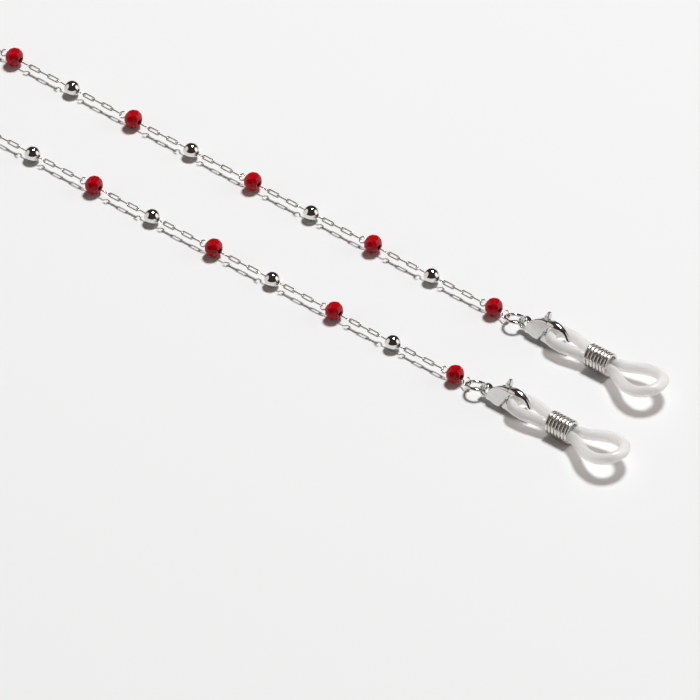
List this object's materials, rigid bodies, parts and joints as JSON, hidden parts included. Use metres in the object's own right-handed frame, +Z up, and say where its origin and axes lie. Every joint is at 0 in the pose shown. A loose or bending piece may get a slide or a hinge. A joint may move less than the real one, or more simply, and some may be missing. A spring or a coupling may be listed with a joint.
{
  "type": "eyeglass retainer strap",
  "caption": "Beaded chain worn round the neck to hold glasses, with a lobster clasp, a silicone temple loop and a sliding coil at each end.",
  "frame": {"origin": "centre of the bounding box, at its bottom, on the table the chain lies on", "axes": "+X along the two straight end strands towards the temple loops, +Y from the strand that leads to the other, +Z up from the table"},
  "size_m": [0.28, 0.0428, 0.0069],
  "materials": {
    "plated_metal": "polished",
    "red_glass": "faceted and polished",
    "clear_silicone": "milky, translucent, satin"
  },
  "bodies": {
    "stored_chain": {"stored_links": "plated_metal", "stored_eye_pins": "plated_metal", "stored_red_beads": "red_glass", "stored_metal_balls": "plated_metal"},
    "strand_a1": {"links_a1": "plated_metal", "eye_pins_a1": "plated_metal"},
    "ball_a1": {"metal_ball_a1": "plated_metal"},
    "red_a1": {"red_bead_a1": "red_glass"},
    "strand_a2": {"links_a2": "plated_metal", "eye_pins_a2": "plated_metal"},
    "ball_a2": {"metal_ball_a2": "plated_metal"},
    "red_a2": {"red_bead_a2": "red_glass"},
    "strand_a3": {"links_a3": "plated_metal", "eye_pins_a3": "plated_metal"},
    "ball_a3": {"metal_ball_a3": "plated_metal"},
    "red_a3": {"red_bead_a3": "red_glass"},
    "strand_a4": {"links_a4": "plated_metal", "eye_pins_a4": "plated_metal"},
    "ball_a4": {"metal_ball_a4": "plated_metal"},
    "red_a4": {"red_bead_a4": "red_glass"},
    "ring_a": {"jump_ring_a": "plated_metal"},
    "clasp_a": {"clasp_body_a": "plated_metal", "lever_pin_a": "plated_metal", "lever_spring_a": "plated_metal"},
    "lever_a": {"clasp_lever_a": "plated_metal"},
    "loop_a": {"silicone_loop_a": "clear_silicone"},
    "coil_a": {"grip_coil_a": "plated_metal"},
    "strand_b1": {"links_b1": "plated_metal", "eye_pins_b1": "plated_metal"},
    "ball_b1": {"metal_ball_b1": "plated_metal"},
    "red_b1": {"red_bead_b1": "red_glass"},
    "strand_b2": {"links_b2": "plated_metal", "eye_pins_b2": "plated_metal"},
    "ball_b2": {"metal_ball_b2": "plated_metal"},
    "red_b2": {"red_bead_b2": "red_glass"},
    "strand_b3": {"links_b3": "plated_metal", "eye_pins_b3": "plated_metal"},
    "ball_b3": {"metal_ball_b3": "plated_metal"},
    "red_b3": {"red_bead_b3": "red_glass"},
    "strand_b4": {"links_b4": "plated_metal", "eye_pins_b4": "plated_metal"},
    "ball_b4": {"metal_ball_b4": "plated_metal"},
    "red_b4": {"red_bead_b4": "red_glass"},
    "ring_b": {"jump_ring_b": "plated_metal"},
    "clasp_b": {"clasp_body_b": "plated_metal", "lever_pin_b": "plated_metal", "lever_spring_b": "plated_metal"},
    "lever_b": {"clasp_lever_b": "plated_metal"},
    "loop_b": {"silicone_loop_b": "clear_silicone"},
    "coil_b": {"grip_coil_b": "plated_metal"}
  },
  "joints": [
    {"name": "chain_bend_a1", "type": "hinge", "parent": "stored_chain", "child": "strand_a1", "pos_m": [-0.03446, 0.01729, 0.00165], "axis": [0, 0, 1], "range_deg": [-3, 40]},
    {"name": "chain_bend_a2", "type": "hinge", "parent": "strand_a1", "child": "strand_a2", "pos_m": [-0.00282, 0.01729, 0.00165], "axis": [0, 0, 1], "range_deg": [-4, 40]},
    {"name": "chain_bend_a3", "type": "hinge", "parent": "strand_a2", "child": "strand_a3", "pos_m": [0.02882, 0.01729, 0.00165], "axis": [0, 0, 1], "range_deg": [-5, 40]},
    {"name": "chain_bend_a4", "type": "hinge", "parent": "strand_a3", "child": "strand_a4", "pos_m": [0.06046, 0.01729, 0.00165], "axis": [0, 0, 1], "range_deg": [-8, 40]},
    {"name": "ring_swing_a", "type": "hinge", "parent": "strand_a4", "child": "ring_a", "pos_m": [0.09169, 0.01729, 0.00172], "axis": [0, 0, 1], "range_deg": [-12, 25]},
    {"name": "clasp_swing_a", "type": "hinge", "parent": "ring_a", "child": "clasp_a", "pos_m": [0.09528, 0.01729, 0.0021], "axis": [0, 0, 1], "range_deg": [-18, 12]},
    {"name": "lever_press_a", "type": "hinge", "parent": "clasp_a", "child": "lever_a", "pos_m": [0.10028, 0.01732, 0.00229], "axis": [0, -0.9397, 0.342], "range_deg": [0, 12], "stiffness_Nm_per_rad": 0.002, "springref_deg": -8.59, "deforming": ["lever_spring_a"]},
    {"name": "loop_swing_a", "type": "hinge", "parent": "clasp_a", "child": "loop_a", "pos_m": [0.10316, 0.01749, 0.00285], "axis": [0, 0, 1], "range_deg": [-12, 12]},
    {"name": "coil_slide_a", "type": "slide", "parent": "loop_a", "child": "coil_a", "axis": [1, 0, 0], "range_m": [-0.003, 0.004], "deforming": ["silicone_loop_a"]},
    {"name": "chain_bend_b1", "type": "hinge", "parent": "stored_chain", "child": "strand_b1", "pos_m": [-0.02722, -0.00411, 0.00165], "axis": [0, 0, 1], "range_deg": [-40, 3]},
    {"name": "chain_bend_b2", "type": "hinge", "parent": "strand_b1", "child": "strand_b2", "pos_m": [0.00442, -0.00411, 0.00165], "axis": [0, 0, 1], "range_deg": [-40, 4]},
    {"name": "chain_bend_b3", "type": "hinge", "parent": "strand_b2", "child": "strand_b3", "pos_m": [0.03606, -0.00411, 0.00165], "axis": [0, 0, 1], "range_deg": [-40, 5]},
    {"name": "chain_bend_b4", "type": "hinge", "parent": "strand_b3", "child": "strand_b4", "pos_m": [0.0677, -0.00411, 0.00165], "axis": [0, 0, 1], "range_deg": [-40, 8]},
    {"name": "ring_swing_b", "type": "hinge", "parent": "strand_b4", "child": "ring_b", "pos_m": [0.09893, -0.00411, 0.00172], "axis": [0, 0, 1], "range_deg": [-12, 25]},
    {"name": "clasp_swing_b", "type": "hinge", "parent": "ring_b", "child": "clasp_b", "pos_m": [0.10252, -0.00411, 0.0021], "axis": [0, 0, 1], "range_deg": [-18, 12]},
    {"name": "lever_press_b", "type": "hinge", "parent": "clasp_b", "child": "lever_b", "pos_m": [0.10752, -0.00408, 0.00229], "axis": [0, -0.9397, 0.342], "range_deg": [0, 12], "stiffness_Nm_per_rad": 0.002, "springref_deg": -8.59, "deforming": ["lever_spring_b"]},
    {"name": "loop_swing_b", "type": "hinge", "parent": "clasp_b", "child": "loop_b", "pos_m": [0.1104, -0.00391, 0.00285], "axis": [0, 0, 1], "range_deg": [-12, 12]},
    {"name": "coil_slide_b", "type": "slide", "parent": "loop_b", "child": "coil_b", "axis": [1, 0, 0], "range_m": [-0.003, 0.004], "deforming": ["silicone_loop_b"]},
    {"name": "ball_spin_a1", "type": "hinge", "parent": "strand_a1", "child": "ball_a1", "pos_m": [-0.02333, 0.01729, 0.00165], "axis": [1, 0, 0], "continuous": true},
    {"name": "red_spin_a1", "type": "hinge", "parent": "strand_a1", "child": "red_a1", "pos_m": [-0.00706, 0.01729, 0.002], "axis": [1, 0, 0], "continuous": true},
    {"name": "ball_spin_a2", "type": "hinge", "parent": "strand_a2", "child": "ball_a2", "pos_m": [0.00831, 0.01729, 0.00165], "axis": [1, 0, 0], "continuous": true},
    {"name": "red_spin_a2", "type": "hinge", "parent": "strand_a2", "child": "red_a2", "pos_m": [0.02458, 0.01729, 0.002], "axis": [1, 0, 0], "continuous": true},
    {"name": "ball_spin_a3", "type": "hinge", "parent": "strand_a3", "child": "ball_a3", "pos_m": [0.03995, 0.01729, 0.00165], "axis": [1, 0, 0], "continuous": true},
    {"name": "red_spin_a3", "type": "hinge", "parent": "strand_a3", "child": "red_a3", "pos_m": [0.05622, 0.01729, 0.002], "axis": [1, 0, 0], "continuous": true},
    {"name": "ball_spin_a4", "type": "hinge", "parent": "strand_a4", "child": "ball_a4", "pos_m": [0.07159, 0.01729, 0.00165], "axis": [1, 0, 0], "continuous": true},
    {"name": "red_spin_a4", "type": "hinge", "parent": "strand_a4", "child": "red_a4", "pos_m": [0.08786, 0.01729, 0.002], "axis": [1, 0, 0], "continuous": true},
    {"name": "ball_spin_b1", "type": "hinge", "parent": "strand_b1", "child": "ball_b1", "pos_m": [-0.01609, -0.00411, 0.00165], "axis": [1, 0, 0], "continuous": true},
    {"name": "red_spin_b1", "type": "hinge", "parent": "strand_b1", "child": "red_b1", "pos_m": [0.00018, -0.00411, 0.002], "axis": [1, 0, 0], "continuous": true},
    {"name": "ball_spin_b2", "type": "hinge", "parent": "strand_b2", "child": "ball_b2", "pos_m": [0.01555, -0.00411, 0.00165], "axis": [1, 0, 0], "continuous": true},
    {"name": "red_spin_b2", "type": "hinge", "parent": "strand_b2", "child": "red_b2", "pos_m": [0.03182, -0.00411, 0.002], "axis": [1, 0, 0], "continuous": true},
    {"name": "ball_spin_b3", "type": "hinge", "parent": "strand_b3", "child": "ball_b3", "pos_m": [0.04719, -0.00411, 0.00165], "axis": [1, 0, 0], "continuous": true},
    {"name": "red_spin_b3", "type": "hinge", "parent": "strand_b3", "child": "red_b3", "pos_m": [0.06346, -0.00411, 0.002], "axis": [1, 0, 0], "continuous": true},
    {"name": "ball_spin_b4", "type": "hinge", "parent": "strand_b4", "child": "ball_b4", "pos_m": [0.07883, -0.00411, 0.00165], "axis": [1, 0, 0], "continuous": true},
    {"name": "red_spin_b4", "type": "hinge", "parent": "strand_b4", "child": "red_b4", "pos_m": [0.0951, -0.00411, 0.002], "axis": [1, 0, 0], "continuous": true}
  ]
}
